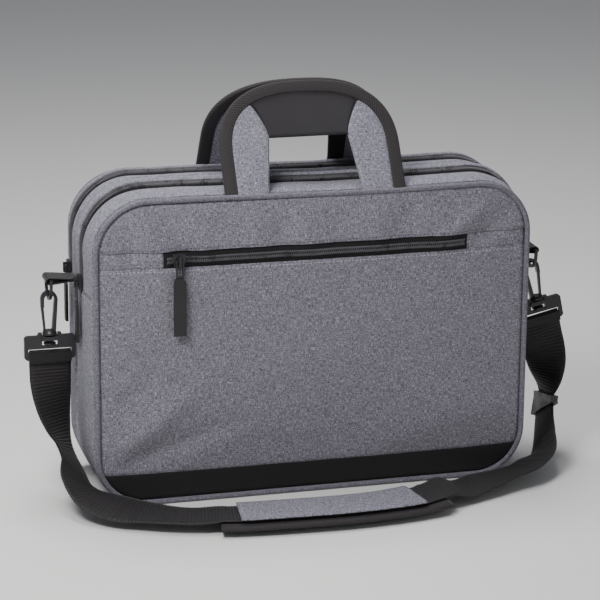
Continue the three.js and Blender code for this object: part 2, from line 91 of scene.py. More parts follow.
# ---- camera: the photograph's viewing angle ----
CAMERA_AZIMUTH = math.radians(-15.58)
CAMERA_ELEVATION = math.radians(16.11)
CAMERA_ROLL = math.radians(0.48)
CAMERA_DISTANCE = 2.257
CAMERA_TARGET = Vector((-0.0145, -0.059, 0.1800))
CAMERA_LENS = 153.2


def make_camera():
    data = bpy.data.cameras.new("camera")
    data.lens = CAMERA_LENS
    data.sensor_width = 36
    data.clip_end = 20
    camera = bpy.data.objects.new("camera", data)
    bpy.context.scene.collection.objects.link(camera)
    az, el = CAMERA_AZIMUTH, CAMERA_ELEVATION
    back = Vector((math.sin(az) * math.cos(el), -math.cos(az) * math.cos(el), math.sin(el)))
    right = Vector((math.cos(az), math.sin(az), 0))
    up = back.cross(right)
    roll = CAMERA_ROLL
    side = right * math.cos(roll) + up * math.sin(roll)
    top = up * math.cos(roll) - right * math.sin(roll)
    turn = Matrix((side, top, back)).transposed().to_4x4()
    camera.matrix_world = Matrix.Translation(CAMERA_TARGET + back * CAMERA_DISTANCE) @ turn
    bpy.context.scene.camera = camera


make_camera()

# ---- materials ----


def node_material(name, roughness=0.85, specular=0.3):
    mat = bpy.data.materials.new(name)
    mat.use_nodes = True
    tree = mat.node_tree
    shader = tree.nodes["Principled BSDF"]
    shader.inputs["Roughness"].default_value = roughness
    shader.inputs["Specular IOR Level"].default_value = specular
    return mat, tree, shader


def place(tree, source, scale, offset=(0, 0, 0)):
    """Texture coordinates from source ("UV" or "Object"), in metres, scaled."""
    coords = tree.nodes.new("ShaderNodeTexCoord")
    mapping = tree.nodes.new("ShaderNodeMapping")
    mapping.inputs["Scale"].default_value = scale
    mapping.inputs["Location"].default_value = offset
    tree.links.new(coords.outputs[source], mapping.inputs["Vector"])
    return mapping.outputs["Vector"]


def noise_at(tree, vector, detail=2.0, roughness=0.5):
    node = tree.nodes.new("ShaderNodeTexNoise")
    node.inputs["Scale"].default_value = 1.0
    node.inputs["Detail"].default_value = detail
    node.inputs["Roughness"].default_value = roughness
    tree.links.new(vector, node.inputs["Vector"])
    return node.outputs["Fac"]


def waves(tree, vector, direction):
    """Ridges one unit of the vector apart."""
    node = tree.nodes.new("ShaderNodeTexWave")
    node.bands_direction = direction
    node.inputs["Scale"].default_value = 0.32
    node.inputs["Distortion"].default_value = 0.0
    tree.links.new(vector, node.inputs["Vector"])
    return node.outputs["Fac"]


def maths(tree, operation, a, b):
    node = tree.nodes.new("ShaderNodeMath")
    node.operation = operation
    for socket, value in zip(node.inputs, (a, b)):
        if isinstance(value, (int, float)):
            socket.default_value = value
        else:
            tree.links.new(value, socket)
    return node.outputs[0]


def weighted(tree, share, a, b):
    """a and b, each times share, added."""
    return maths(tree, "ADD", maths(tree, "MULTIPLY", a, share), maths(tree, "MULTIPLY", b, share))


def ramp(tree, value, stops):
    node = tree.nodes.new("ShaderNodeValToRGB")
    elements = node.color_ramp.elements
    while len(elements) < len(stops):
        elements.new(0.5)
    for element, (at, colour) in zip(elements, stops):
        element.position = at
        element.color = (*colour, 1)
    tree.links.new(value, node.inputs["Fac"])
    return node.outputs["Color"]


def bump(tree, shader, height, strength, distance):
    node = tree.nodes.new("ShaderNodeBump")
    node.inputs["Strength"].default_value = strength
    node.inputs["Distance"].default_value = distance
    tree.links.new(height, node.inputs["Height"])
    tree.links.new(node.outputs["Normal"], shader.inputs["Normal"])


def tint(colour, factor):
    return tuple(c * factor for c in colour)


def canvas(name, colour, thread=0.42, contrast=1.0):
    """Melange plain weave: warp and weft threads of uneven shade, in UV metres."""
    mat, tree, shader = node_material(name, 0.9, 0.22)
    per = 1 / (thread * MM)
    warp = noise_at(tree, place(tree, "UV", (per, per * 0.13, 1)), 1.0, 0.6)
    weft = noise_at(tree, place(tree, "UV", (per * 0.13, per, 1), (31, 7, 0)), 1.0, 0.6)
    long_warp = noise_at(tree, place(tree, "UV", (per * 0.7, per * 0.03, 1)), 1.0)
    long_weft = noise_at(tree, place(tree, "UV", (per * 0.03, per * 0.7, 1), (5, 3, 0)), 1.0)
    mix = maths(tree, "ADD", weighted(tree, 0.36, warp, weft), weighted(tree, 0.14, long_warp, long_weft))
    spread = 0.14 / contrast
    shade = ramp(tree, mix, [
        (0.5 - spread, tint(colour, 0.16)), (0.5 - spread * 0.3, tint(colour, 0.68)),
        (0.5 + spread * 0.3, tint(colour, 1.25)), (0.5 + spread, tint(colour, 2.7))])
    tree.links.new(shade, shader.inputs["Base Color"])
    across = waves(tree, place(tree, "UV", (per, per, 1)), "X")
    along = waves(tree, place(tree, "UV", (per, per, 1)), "Y")
    weave = maths(tree, "ADD", maths(tree, "MULTIPLY", across, along), mix)
    bump(tree, shader, weave, 0.5, 0.2 * MM)
    shader.inputs["Sheen Weight"].default_value = 0.1
    shader.inputs["Sheen Roughness"].default_value = 0.5
    return mat


def woven(name, colour, pitch=0.9, twill=False, roughness=0.75, sheen=0.1):
    """Plain black weave, or diagonal ribs for a binding tape."""
    mat, tree, shader = node_material(name, roughness, 0.35)
    per = 1 / (pitch * MM)
    vector = place(tree, "UV", (per, per, 1))
    ribs = waves(tree, vector, "DIAGONAL" if twill else "X")
    cross = waves(tree, vector, "Y")
    height = ribs if twill else maths(tree, "MULTIPLY", ribs, cross)
    fuzz = noise_at(tree, place(tree, "UV", (900, 900, 1)))
    shade = ramp(tree, weighted(tree, 0.5, height, fuzz),
                 [(0.2, tint(colour, 0.45)), (0.5, colour), (0.8, tint(colour, 2.1))])
    tree.links.new(shade, shader.inputs["Base Color"])
    bump(tree, shader, height, 0.6, 0.3 * MM)
    shader.inputs["Sheen Weight"].default_value = sheen
    return mat


def moulded(name, colour, roughness=0.34, grain=0.12):
    """Moulded plastic or rubber: fine grain and worn, slightly paler patches."""
    mat, tree, shader = node_material(name, roughness, 0.5)
    fine = noise_at(tree, place(tree, "Object", (2600, 2600, 2600)))
    broad = noise_at(tree, place(tree, "Object", (90, 90, 90)), 3.0)
    shade = ramp(tree, broad, [(0.3, tint(colour, 0.8)), (0.7, tint(colour, 1.35))])
    tree.links.new(shade, shader.inputs["Base Color"])
    rough = ramp(tree, broad, [(0.3, (roughness - 0.07,) * 3), (0.7, (roughness + 0.12,) * 3)])
    tree.links.new(rough, shader.inputs["Roughness"])
    bump(tree, shader, fine, grain, 0.05 * MM)
    return mat


CANVAS = canvas("grey_canvas", (0.19, 0.18, 0.212))
CANVAS_SIDE = canvas("grey_canvas_gusset", (0.21, 0.203, 0.243))
PIPING = canvas("grey_piping", (0.16, 0.148, 0.178), contrast=0.8)
LINING = woven("lining", (0.012, 0.011, 0.013), 0.4)
BLACK = woven("black_fabric", (0.007, 0.005, 0.0055), 0.5)
SATIN = woven("grip_fabric", (0.015, 0.011, 0.0145), 0.35, roughness=0.42, sheen=0.1)
BINDING_TAPE = woven("woven_binding", (0.02, 0.0165, 0.018), 1.5, twill=True)
STRAP = woven("black_webbing", (0.0145, 0.0115, 0.0125), 1.1, roughness=0.5, sheen=0.12)
TAPE = woven("zip_tape", (0.011, 0.0095, 0.011), 0.5)
COIL = moulded("zip_coil", (0.085, 0.08, 0.088), 0.3)
PLASTIC = moulded("black_plastic", (0.016, 0.0155, 0.018))
SLATE = moulded("slate_plastic", (0.032, 0.032, 0.037), 0.38)
RUBBER = moulded("pull_rubber", (0.013, 0.0125, 0.014), 0.55, 0.3)
THREAD = moulded("pale_thread", (0.36, 0.35, 0.4), 0.7)
DARK_THREAD = moulded("dark_thread", (0.02, 0.018, 0.02), 0.6)

# ---- mesh helpers ----


def to_object(name, verts, faces, material, uvs=None, slots=None):
    """A smooth mesh object. uvs is one (u, v) per vertex in metres; slots is each face's material slot."""
    mesh = bpy.data.meshes.new(name)
    mesh.from_pydata([tuple(v) for v in verts], [], faces)
    materials = material if isinstance(material, (list, tuple)) else [material]
    for mat in materials:
        mesh.materials.append(mat)
    if uvs is not None:
        layer = mesh.uv_layers.new(name="cloth")
        index = np.empty(len(mesh.loops), dtype=np.int32)
        mesh.loops.foreach_get("vertex_index", index)
        layer.data.foreach_set("uv", np.asarray(uvs, dtype=np.float32)[index].ravel())
    if slots is not None:
        mesh.polygons.foreach_set("material_index", slots)
    mesh.polygons.foreach_set("use_smooth", [True] * len(mesh.polygons))
    mesh.validate()
    thing = bpy.data.objects.new(name, mesh)
    bpy.context.scene.collection.objects.link(thing)
    bm = bmesh.new()
    bm.from_mesh(mesh)
    bmesh.ops.recalc_face_normals(bm, faces=bm.faces)
    bm.to_mesh(mesh)
    bm.free()
    return thing


def grid_normals(points):
    du = np.gradient(points, axis=0)
    dv = np.gradient(points, axis=1)
    normal = np.cross(du, dv)
    return normal / np.maximum(np.linalg.norm(normal, axis=2, keepdims=True), 1e-9)


def arc_lengths(points):
    """UVs of a grid in metres, measured along its rows and columns."""
    u = np.zeros(points.shape[:2])
    v = np.zeros(points.shape[:2])
    u[1:] = np.cumsum(np.linalg.norm(np.diff(points, axis=0), axis=2), axis=0)
    v[:, 1:] = np.cumsum(np.linalg.norm(np.diff(points, axis=1), axis=2), axis=1)
    return np.stack([u, v], axis=2)


def shell_faces(rows, columns, inner_slot):
    """Faces and material slots of a closed shell: two grids of points, outer then inner, and their edges."""
    faces = []
    slots = []

    def at(i, j, k):
        return (k * rows + i) * columns + j

    for i in range(rows - 1):
        for j in range(columns - 1):
            faces.append((at(i, j, 0), at(i + 1, j, 0), at(i + 1, j + 1, 0), at(i, j + 1, 0)))
            faces.append((at(i, j, 1), at(i, j + 1, 1), at(i + 1, j + 1, 1), at(i + 1, j, 1)))
            slots += [0, inner_slot(j)]
    for i in range(rows - 1):
        last = columns - 1
        faces.append((at(i, 0, 0), at(i, 0, 1), at(i + 1, 0, 1), at(i + 1, 0, 0)))
        faces.append((at(i, last, 0), at(i + 1, last, 0), at(i + 1, last, 1), at(i, last, 1)))
        slots += [0, 0]
    for j in range(columns - 1):
        last = rows - 1
        faces.append((at(0, j, 0), at(0, j + 1, 0), at(0, j + 1, 1), at(0, j, 1)))
        faces.append((at(last, j, 0), at(last, j, 1), at(last, j + 1, 1), at(last, j + 1, 0)))
        slots += [0, 0]
    return faces, slots


def skin(name, points, thick, material, inside, outward, uv=None):
    """A cloth sheet on a grid of points, which are its outer face. outward is a rough outer direction."""
    normal = grid_normals(points)
    if float((normal * outward).sum()) < 0:
        normal = -normal
    inner = points - normal * thick
    uv = arc_lengths(points) if uv is None else uv
    verts = np.concatenate([points.reshape(-1, 3), inner.reshape(-1, 3)])
    uvs = np.concatenate([uv.reshape(-1, 2)] * 2)
    faces, slots = shell_faces(*points.shape[:2], lambda j: 1)
    return to_object(name, verts, faces, [material, inside], uvs, slots)


def runs(points):
    """Distance of each point from the first, along the path."""
    return np.concatenate([[0], np.cumsum(np.linalg.norm(np.diff(points, axis=0), axis=1))])


def path_frames(points, hint, closed):
    """Side and up directions along a path; up stays near hint."""
    if closed:
        tangent = np.roll(points, -1, axis=0) - np.roll(points, 1, axis=0)
    else:
        tangent = np.gradient(points, axis=0)
    tangent /= np.maximum(np.linalg.norm(tangent, axis=1, keepdims=True), 1e-9)
    up = np.broadcast_to(np.asarray(hint, dtype=float), points.shape).copy()
    up -= (up * tangent).sum(1, keepdims=True) * tangent
    up /= np.maximum(np.linalg.norm(up, axis=1, keepdims=True), 1e-9)
    return np.cross(tangent, up), up


def tube_faces(count, sides, closed=False):
    """Faces between rings of points, with end caps on an open tube."""
    faces = []
    for i in range(count if closed else count - 1):
        following = (i + 1) % count
        for j in range(sides):
            k = (j + 1) % sides
            faces.append((i * sides + j, following * sides + j, following * sides + k, i * sides + k))
    if not closed:
        faces.append(tuple(range(sides - 1, -1, -1)))
        faces.append(tuple((count - 1) * sides + j for j in range(sides)))
    return faces


def sweep(name, points, section, material, hint=(0, 1, 0), closed=False):
    """Sweeps a closed section [(side, up)] along a path."""
    points = np.asarray(points, dtype=float)
    side, up = path_frames(points, hint, closed)
    section = np.asarray(section, dtype=float)
    verts = points[:, None] + side[:, None] * section[None, :, :1] + up[:, None] * section[None, :, 1:]
    uvs = np.stack(np.broadcast_arrays(runs(points)[:, None], runs(section)[None]), axis=2)
    faces = tube_faces(len(points), len(section), closed)
    return to_object(name, verts.reshape(-1, 3), faces, material, uvs.reshape(-1, 2))


def circle(radius, sides):
    return [(radius * math.cos(2 * math.pi * i / sides), radius * math.sin(2 * math.pi * i / sides))
            for i in range(sides)]


def rounded(width, height, radius, steps):
    """A rounded rectangle section, counter-clockwise."""
    points = []
    for cx, cy, start in ((1, 1, 0), (-1, 1, 90), (-1, -1, 180), (1, -1, 270)):
        for i in range(steps + 1):
            a = math.radians(start + 90 * i / steps)
            points.append((cx * (width / 2 - radius) + radius * math.cos(a),
                           cy * (height / 2 - radius) + radius * math.sin(a)))
    return points


def join(name, things):
    """One object from several, at the world origin."""
    bpy.ops.object.select_all(action="DESELECT")
    for thing in things:
        thing.select_set(True)
    bpy.context.view_layer.objects.active = things[0]
    bpy.ops.object.join()
    whole = bpy.context.view_layer.objects.active
    whole.name = name
    return whole


def resample(points, step):
    points = np.asarray(points, dtype=float)
    at = runs(points)
    marks = np.linspace(0, at[-1], max(2, int(round(at[-1] / step)) + 1))
    return np.stack([np.interp(marks, at, points[:, k]) for k in range(3)], axis=1)


STITCH_MARKS = 8
THREAD_MARKS = 5
THREAD_SIDES = 6
# Places along a stitch, from its middle, and how full the thread is there.
THREAD_SHAPE = [(-0.5, 0.45), (-0.2, 1.0), (0.2, 1.0), (0.5, 0.45)]


def stitches(name, path, normal, material, length, gap, radius):
    """A row of raised stitches along a path. Each takes 5 of the 8 marks from one stitch to the next."""
    marks = resample(path, (length + gap) / STITCH_MARKS)
    up = np.asarray(normal, dtype=float) / np.linalg.norm(normal)
    rings = len(THREAD_SHAPE)
    verts = []
    faces = []
    for start in range(0, len(marks) - STITCH_MARKS + 2, STITCH_MARKS):
        a, b = marks[start], marks[min(start + THREAD_MARKS, len(marks) - 1)]
        run = b - a
        size = np.linalg.norm(run)
        along = run / size
        side = np.cross(along, up)
        base = len(verts)
        for t, full in THREAD_SHAPE:
            centre = (a + b) / 2 + along * size * t
            for k in range(THREAD_SIDES):
                angle = 2 * math.pi * k / THREAD_SIDES
                out = side * math.cos(angle) * radius + up * math.sin(angle) * radius * 0.7
                verts.append(centre + out * full)
        faces += [tuple(base + k for k in face) for face in tube_faces(rings, THREAD_SIDES)]
    return to_object(name, verts, faces, material)


# ---- the bag's outline ----
BASE_RUN = HALF_W - BASE_R
BASE_ARC = BASE_R * math.pi / 2
SIDE_RUN = TOP_Z - BASE_R - TOP_R
TOP_ARC = TOP_R * math.pi / 2
TOP_RUN = HALF_W - TOP_R
HALF_GIRTH = BASE_RUN + BASE_ARC + SIDE_RUN + TOP_ARC + TOP_RUN
FOLD_AT = BASE_RUN + BASE_ARC + FOLD_Z - BASE_R


def rim(s):
    """Point and outward direction on the outline, s measured round from the middle of the base."""
    if s > HALF_GIRTH:
        s -= 2 * HALF_GIRTH
    side = -1 if s < 0 else 1
    t = abs(s)
    if t <= BASE_RUN:
        x, z, angle = t, 0.0, -math.pi / 2
    elif t <= BASE_RUN + BASE_ARC:
        angle = -math.pi / 2 + (t - BASE_RUN) / BASE_R
        x, z = BASE_RUN + BASE_R * math.cos(angle), BASE_R + BASE_R * math.sin(angle)
    elif t <= BASE_RUN + BASE_ARC + SIDE_RUN:
        x, z, angle = HALF_W, BASE_R + t - BASE_RUN - BASE_ARC, 0.0
    elif t <= HALF_GIRTH - TOP_RUN:
        angle = (t - BASE_RUN - BASE_ARC - SIDE_RUN) / TOP_R
        x, z = TOP_RUN + TOP_R * math.cos(angle), TOP_Z - TOP_R + TOP_R * math.sin(angle)
    else:
        x, z, angle = HALF_GIRTH - t, TOP_Z, math.pi / 2
    return side * x, z, side * math.cos(angle), math.sin(angle)


def bow(y, z):
    return BOW * (1 - (y / HALF_D) ** 2) * min(1.0, max(0.0, z / 0.06))


def wobble(x, y, z, size, height):
    return height * noise.noise(Vector((x / size, y / size, z / size)))


def top_sag(x, z, y):
    """The top dips a little between the handles."""
    if z < TOP_Z - 0.03:
        return 0.0
    return -2.5 * MM * math.exp(-((x - 0.05) / 0.12) ** 2)


# ---- panels ----
PANEL_INSET = 2 * PIPE_R - 0.6 * MM
PANEL_HALF = HALF_W - PANEL_INSET

# Soft folds on the front: from (x, z) to (x, z), half width, height. A minus height is a dent.
FOLDS = [
    (-0.185, 0.262, -0.158, 0.212, 0.008, -3.6), (-0.165, 0.268, -0.132, 0.214, 0.009, 2.8),
    (-0.148, 0.262, -0.112, 0.222, 0.008, -3.0), (-0.118, 0.262, -0.104, 0.226, 0.009, 1.8),
    (-0.085, 0.264, -0.078, 0.232, 0.012, -2.0), (-0.030, 0.266, -0.034, 0.224, 0.011, -2.6),
    (-0.010, 0.262, -0.006, 0.222, 0.012, 1.8), (0.020, 0.266, 0.016, 0.226, 0.010, -1.6),
    (0.058, 0.266, 0.054, 0.222, 0.011, 1.9), (0.086, 0.264, 0.078, 0.232, 0.010, -2.2),
    (0.168, 0.266, 0.104, 0.222, 0.008, 3.6), (0.186, 0.252, 0.132, 0.216, 0.008, -3.2),
    (0.190, 0.225, 0.176, 0.240, 0.008, 1.6), (-0.188, 0.046, -0.112, 0.104, 0.011, 3.8),
    (-0.180, 0.036, -0.080, 0.074, 0.010, -3.4), (-0.192, 0.078, -0.140, 0.128, 0.010, -2.2),
    (0.188, 0.055, 0.110, 0.082, 0.015, 2.4), (0.190, 0.080, 0.140, 0.118, 0.013, -2.0),
    (-0.187, 0.150, -0.150, 0.165, 0.016, 1.6), (-0.080, 0.042, 0.040, 0.050, 0.013, -1.6),
    (0.060, 0.045, 0.150, 0.060, 0.014, 1.6), (-0.060, 0.120, 0.060, 0.150, 0.030, 1.2),
]


def fold_height(x, z):
    total = 0.0
    for ax, az, bx, bz, width, height in FOLDS:
        dx, dz = bx - ax, bz - az
        t = max(0.0, min(1.0, ((x - ax) * dx + (z - az) * dz) / (dx * dx + dz * dz)))
        away = math.hypot(x - ax - t * dx, z - az - t * dz)
        fade = math.sin(math.pi * (0.12 + 0.76 * t))
        total += height * MM * fade * math.exp(-(away / width) ** 2)
    return total


def bulge(x, z):
    u = min(1.0, abs(x) / PANEL_HALF)
    v = min(1.0, abs(z - TOP_Z / 2) / (TOP_Z / 2 - PANEL_INSET))
    return BULGE * (1 - u ** 4) * (1 - v ** 4)


def panel_limits(x):
    """Lowest and highest z of a panel at x."""
    def edge(radius):
        r = radius - PANEL_INSET
        over = max(0.0, abs(x) - (PANEL_HALF - r))
        return r - math.sqrt(max(0.0, r * r - over * over))
    return PANEL_INSET + edge(BASE_R), TOP_Z - PANEL_INSET - edge(TOP_R)


def half_at(z):
    """Half width of a panel at z."""
    radius = BASE_R if z < TOP_Z / 2 else TOP_R
    r = radius - PANEL_INSET
    over = max(0.0, radius - z if z < TOP_Z / 2 else z - TOP_Z + radius)
    return PANEL_HALF - r + math.sqrt(max(0.0, r * r - over * over))


def face_y(side, x, z):
    """Depth of the panel's outer face on side -1 (front) or 1 (rear)."""
    depth = bulge(x, z)
    shape = fold_height(x, z) if side < 0 else 0.6 * fold_height(-x, z)
    edge = min(1.0, bulge(x, z) / (0.35 * BULGE))
    shape += wobble(x, side, z, 0.05, 0.9 * MM) + wobble(x, side * 3, z, 0.018, 0.22 * MM)
    middle = FRONT_Y if side < 0 else REAR_Y
    return middle + side * (depth + shape * edge)


def eased(t):
    """0 to 1, closer spaced at both ends."""
    return 0.5 - 0.5 * math.cos(math.pi * t)


def panel(name, side, z0, z1, material, x0=None, x1=None, columns=120, lift=0.0):
    """A panel's cloth from z0 to z1, drawn in a little at its seams and more at the piping."""
    widest = max(half_at(z) for z in (z0 + MM, (z0 + z1) / 2, z1 - MM))
    x0 = -widest if x0 is None else x0
    x1 = widest if x1 is None else x1
    rows = max(6, int((z1 - z0) / (2.6 * MM)))
    wide = x1 - x0 > 0.2
    points = np.zeros((columns + 1, rows + 1, 3))
    uv = np.zeros((columns + 1, rows + 1, 2))
    for i in range(columns + 1):
        t = i / columns
        x = x0 + (x1 - x0) * (eased(t) if wide else t)
        low, high = panel_limits(x)
        bottom = min(max(z0, low), z1 - MM)
        top = max(min(z1, high), z0 + MM)
        for j in range(rows + 1):
            z = bottom + (top - bottom) * eased(j / rows)
            near = min(abs(z - bottom), abs(top - z))
            dip = 0.8 * MM * math.exp(-(near / (1.6 * MM)) ** 2)
            rim_gap = min(half_at(z) - abs(x), z - low, high - z)
            dip += 1.8 * MM * math.exp(-(max(0.0, rim_gap) / (2.2 * MM)) ** 2)
            points[i, j] = (x, face_y(side, x, z) + side * (lift - dip), z)
            uv[i, j] = (x, z)
    return skin(name, points, CLOTH, material, LINING, (0, side, 0), uv)


BLEND_FROM = (0, 0, PANEL_FOLD_Z - 16 * MM)
BLEND_TO = (0, 0, PANEL_FOLD_Z + 18 * MM)


def across_fold(piece, end, slot, *nodes, start=BLEND_FROM, stop=BLEND_TO):
    """A piece with its transform baked into its mesh; the CAD pieces it stands for are hidden."""
    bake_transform(piece)
    if nodes:
        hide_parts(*nodes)


def on(piece, body, slot, *nodes):
    """A piece that moves with one body."""
    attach(piece, body)
    if nodes:
        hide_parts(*nodes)
    return piece


def make_panels():
    gap = 0.3 * MM
    strip = panel("base_strip", -1, 0, STRIP_TOP, BLACK, lift=0.4 * MM)
    on(strip, "root", "black_fabric", "front_base_strip")
    main = panel("main_front_panel", -1, STRIP_TOP - gap, POCKET_LOW + gap, CANVAS)
    across_fold(main, "front", "grey_canvas", "front_panel_lower", "front_panel_upper")
    yoke = panel("yoke", -1, POCKET_HIGH - gap, TOP_Z, CANVAS, lift=0.5 * MM)
    on(yoke, "front_flap", "grey_canvas", "front_yoke")
    rear = panel("rear_panel", 1, 0, TOP_Z, CANVAS)
    across_fold(rear, "rear", "grey_canvas", "rear_panel_lower", "rear_panel_upper")
    for end, side in (("left", -1), ("right", 1)):
        edges = sorted((side * (POCKET_HALF - MM), side * PANEL_HALF))
        piece = panel(f"zip_end_{end}", -1, POCKET_LOW, POCKET_HIGH, CANVAS, *edges, columns=30,
                      lift=-0.4 * MM)
        on(piece, "front_flap", "grey_canvas", f"pocket_zip_end_{end}")
    tape = panel("pocket_tape", -1, POCKET_LOW, POCKET_HIGH, TAPE, -POCKET_HALF, POCKET_HALF,
                 columns=100, lift=-1.3 * MM)
    on(tape, "front_flap", "zip_tape", "pocket_zip_tape")


def make_front_seams():
    reach = half_at(POCKET_HIGH + 4 * MM) - 2 * MM
    rows = [("upper_seam", POCKET_HIGH + 2.2 * MM, DARK_THREAD),
            ("upper_seam_2", POCKET_HIGH + 7.5 * MM, DARK_THREAD),
            ("lower_seam", POCKET_LOW - 2.4 * MM, THREAD)]
    for name, z, thread in rows:
        path = [(x, face_y(-1, x, z) - 0.15 * MM, z) for x in np.linspace(-reach, reach, 160)]
        row = stitches(name, path, (0, -1, 0), thread, 2.3 * MM, 1.2 * MM, 0.45 * MM)
        on(row, "front_flap", "grey_canvas")
    for end, side in (("left", -1), ("right", 1)):
        x = side * (POCKET_HALF + 1.6 * MM)
        path = [(x, face_y(-1, x, z) - 0.1 * MM, z) for z in np.linspace(POCKET_LOW, POCKET_HIGH, 9)]
        piece = stitches(f"zip_end_stitch_{end}", path, (0, -1, 0), THREAD, 2 * MM, 1 * MM, 0.35 * MM)
        on(piece, "front_flap", "grey_canvas")


# ---- piping ----


def ring_points(y, inset):
    """The bag's outline at depth y, inset from its edge."""
    count = int(2 * HALF_GIRTH / (3 * MM))
    points = []
    for i in range(count):
        x, z, nx, nz = rim(-HALF_GIRTH + 2 * HALF_GIRTH * i / count)
        sag = top_sag(x, z, y)
        points.append((x - nx * inset, y, z - nz * inset + sag))
    return points


def make_piping():
    for end, y, side in (("front", FRONT_Y, -1), ("rear", REAR_Y, 1)):
        ring = sweep(f"{end}_piping", ring_points(y, PIPE_R), circle(PIPE_R, 14), PIPING, closed=True)
        across_fold(ring, end, "grey_canvas", f"{end}_piping_lower", f"{end}_piping_upper")
        welt = sweep(f"{end}_welt", ring_points(y - side * 6.2 * MM, 0.9 * MM), circle(1.5 * MM, 10),
                     CANVAS_SIDE, closed=True)
        across_fold(welt, end, "grey_canvas")


# ---- gussets ----


def zip_step(y):
    """The cloth in front of each zip lies low and the cloth behind it stands up, so the zip slopes."""
    total = 0.0
    for at in (FRONT_ZIP_Y, REAR_ZIP_Y):
        t = y - at
        if t < -ZIP_HALF:
            total -= 1.4 * MM * math.exp(-((-t - ZIP_HALF) / (8 * MM)) ** 2)
        elif t > ZIP_HALF:
            total += 3.6 * MM * math.exp(-((t - ZIP_HALF) / (11 * MM)) ** 2)
        else:
            total += (1.1 + 2.5 * t / ZIP_HALF) * MM
    return total


def zip_rise(y, s, s0, s1, nz):
    """zip_step at s, fading towards the zip's ends at s0 and s1, and lower on the bag's sides."""
    return zip_step(y) * min(1.0, min(s - s0, s1 - s) / ZIP_RUN_OUT) * (0.35 + 0.65 * max(0.0, nz))


def gusset(name, s0, s1, y0, y1, material, dips=(), lips=True, columns=14, lift=0.0, steps=True):
    """A strip of gusset. dips are (y, depth, half width) of grooves along it; lips turn its edges in."""
    rows = int((s1 - s0) / (4 * MM))
    points = np.zeros((rows + 1, columns + 1, 3))
    for i in range(rows + 1):
        s = s0 + (s1 - s0) * i / rows
        x, z, nx, nz = rim(s)
        for j in range(columns + 1):
            y = y0 + (y1 - y0) * eased(j / columns)
            out = bow(y, z) + lift + wobble(x, y, z, 0.035, 0.9 * MM) * min(1.0, z / 0.05)
            if steps:
                out += zip_rise(y, s, s0, s1, nz)
            for at, depth, half in dips:
                out -= depth * math.exp(-((y - at) / half) ** 2)
            for edge in (y0, y1) if lips else ():
                out -= 1.7 * MM * math.exp(-((y - edge) / (1.9 * MM)) ** 2)
            points[i, j] = (x + nx * out, y, z + nz * out + top_sag(x, z, y))
    return skin(name, points, CLOTH, material, LINING, points - np.array([0, 0, TOP_Z / 2]))


def make_gussets():
    seam = HALF_D - 4.6 * MM
    seam_lines = [(side * (HALF_D - 9 * MM), 1.3 * MM, 1.1 * MM) for side in (-1, 1)]
    overlap = ZIP_HALF - 0.6 * MM
    girth = (FOLD_AT, 2 * HALF_GIRTH - FOLD_AT)
    for end, side in (("front", -1), ("rear", 1)):
        edges = sorted((DIVIDER_Y - side * 0.5 * MM, side * seam))
        dips = [(DIVIDER_Y, 2.2 * MM, 2.5 * MM), (FRONT_ZIP_Y, 0.8 * MM, 3 * MM)] + seam_lines
        base = gusset(f"{end}_base_and_sides", -FOLD_AT, FOLD_AT, *edges, CANVAS_SIDE, dips, columns=24,
                      steps=False)
        nodes = ["side_and_base_gusset"] if side < 0 else []
        across_fold(base, end, "grey_canvas", *nodes,
                    start=(0, side * 18 * MM, PANEL_FOLD_Z - 14 * MM), stop=(0, side * HALF_D, FOLD_Z))
    front = gusset("front_gusset", *girth, -seam, FRONT_ZIP_Y - overlap, CANVAS_SIDE, seam_lines)
    on(front, "front_flap", "grey_canvas", "front_top_gusset")
    rear = gusset("rear_gusset", *girth, REAR_ZIP_Y + overlap, seam, CANVAS_SIDE, seam_lines)
    on(rear, "rear_flap", "grey_canvas", "rear_top_gusset")
    middle = gusset("middle_gusset", *girth, FRONT_ZIP_Y + overlap, REAR_ZIP_Y - overlap, CANVAS_SIDE,
                    [(DIVIDER_Y, 4.2 * MM, 2.4 * MM)], columns=26)
    on(middle, "root", "grey_canvas", "middle_top_gusset")


# ---- compartment zips ----


def zip_tape(name, y0, y1):
    return gusset(name, FOLD_AT, 2 * HALF_GIRTH - FOLD_AT, y0, y1, TAPE, lips=False, columns=4,
                  lift=-1.6 * MM)


COIL_WIRE = circle(0.6 * MM, 5)


def coil(name, y, side):
    """Half of a zip's coil: a squashed spiral along the tape's edge."""
    start, stop = FOLD_AT + 2 * MM, 2 * HALF_GIRTH - FOLD_AT - 2 * MM
    steps = int((stop - start) / (2 * MM)) * COIL_STEPS
    path = []
    for i in range(steps + 1):
        s = start + (stop - start) * i / steps
        x, z, nx, nz = rim(s)
        angle = 2 * math.pi * i / COIL_STEPS
        at = y + side * (1.5 * MM + 1.3 * MM * math.cos(angle))
        rise = zip_rise(at, s, start, stop, nz)
        out = bow(y, z) + rise - 0.7 * MM + 0.8 * MM * math.sin(angle)
        path.append((x + nx * out, at, z + nz * out + top_sag(x, z, y)))
    return sweep(name, path, COIL_WIRE, COIL, hint=(0.3, 0.9, 0.31))


def make_zips():
    for end, y, side in (("front", FRONT_ZIP_Y, -1), ("rear", REAR_ZIP_Y, 1)):
        for which, hand in (("flap", side), ("middle", -side)):
            body = f"{end}_flap" if which == "flap" else "root"
            edges = sorted((y + hand * 0.3 * MM, y + hand * (ZIP_HALF + 1.6 * MM)))
            on(zip_tape(f"{end}_tape_{which}", *edges), body, "zip_tape", f"{end}_zip_half_{which}")
            on(coil(f"{end}_coil_{which}", y, hand), body, "zip_coil")


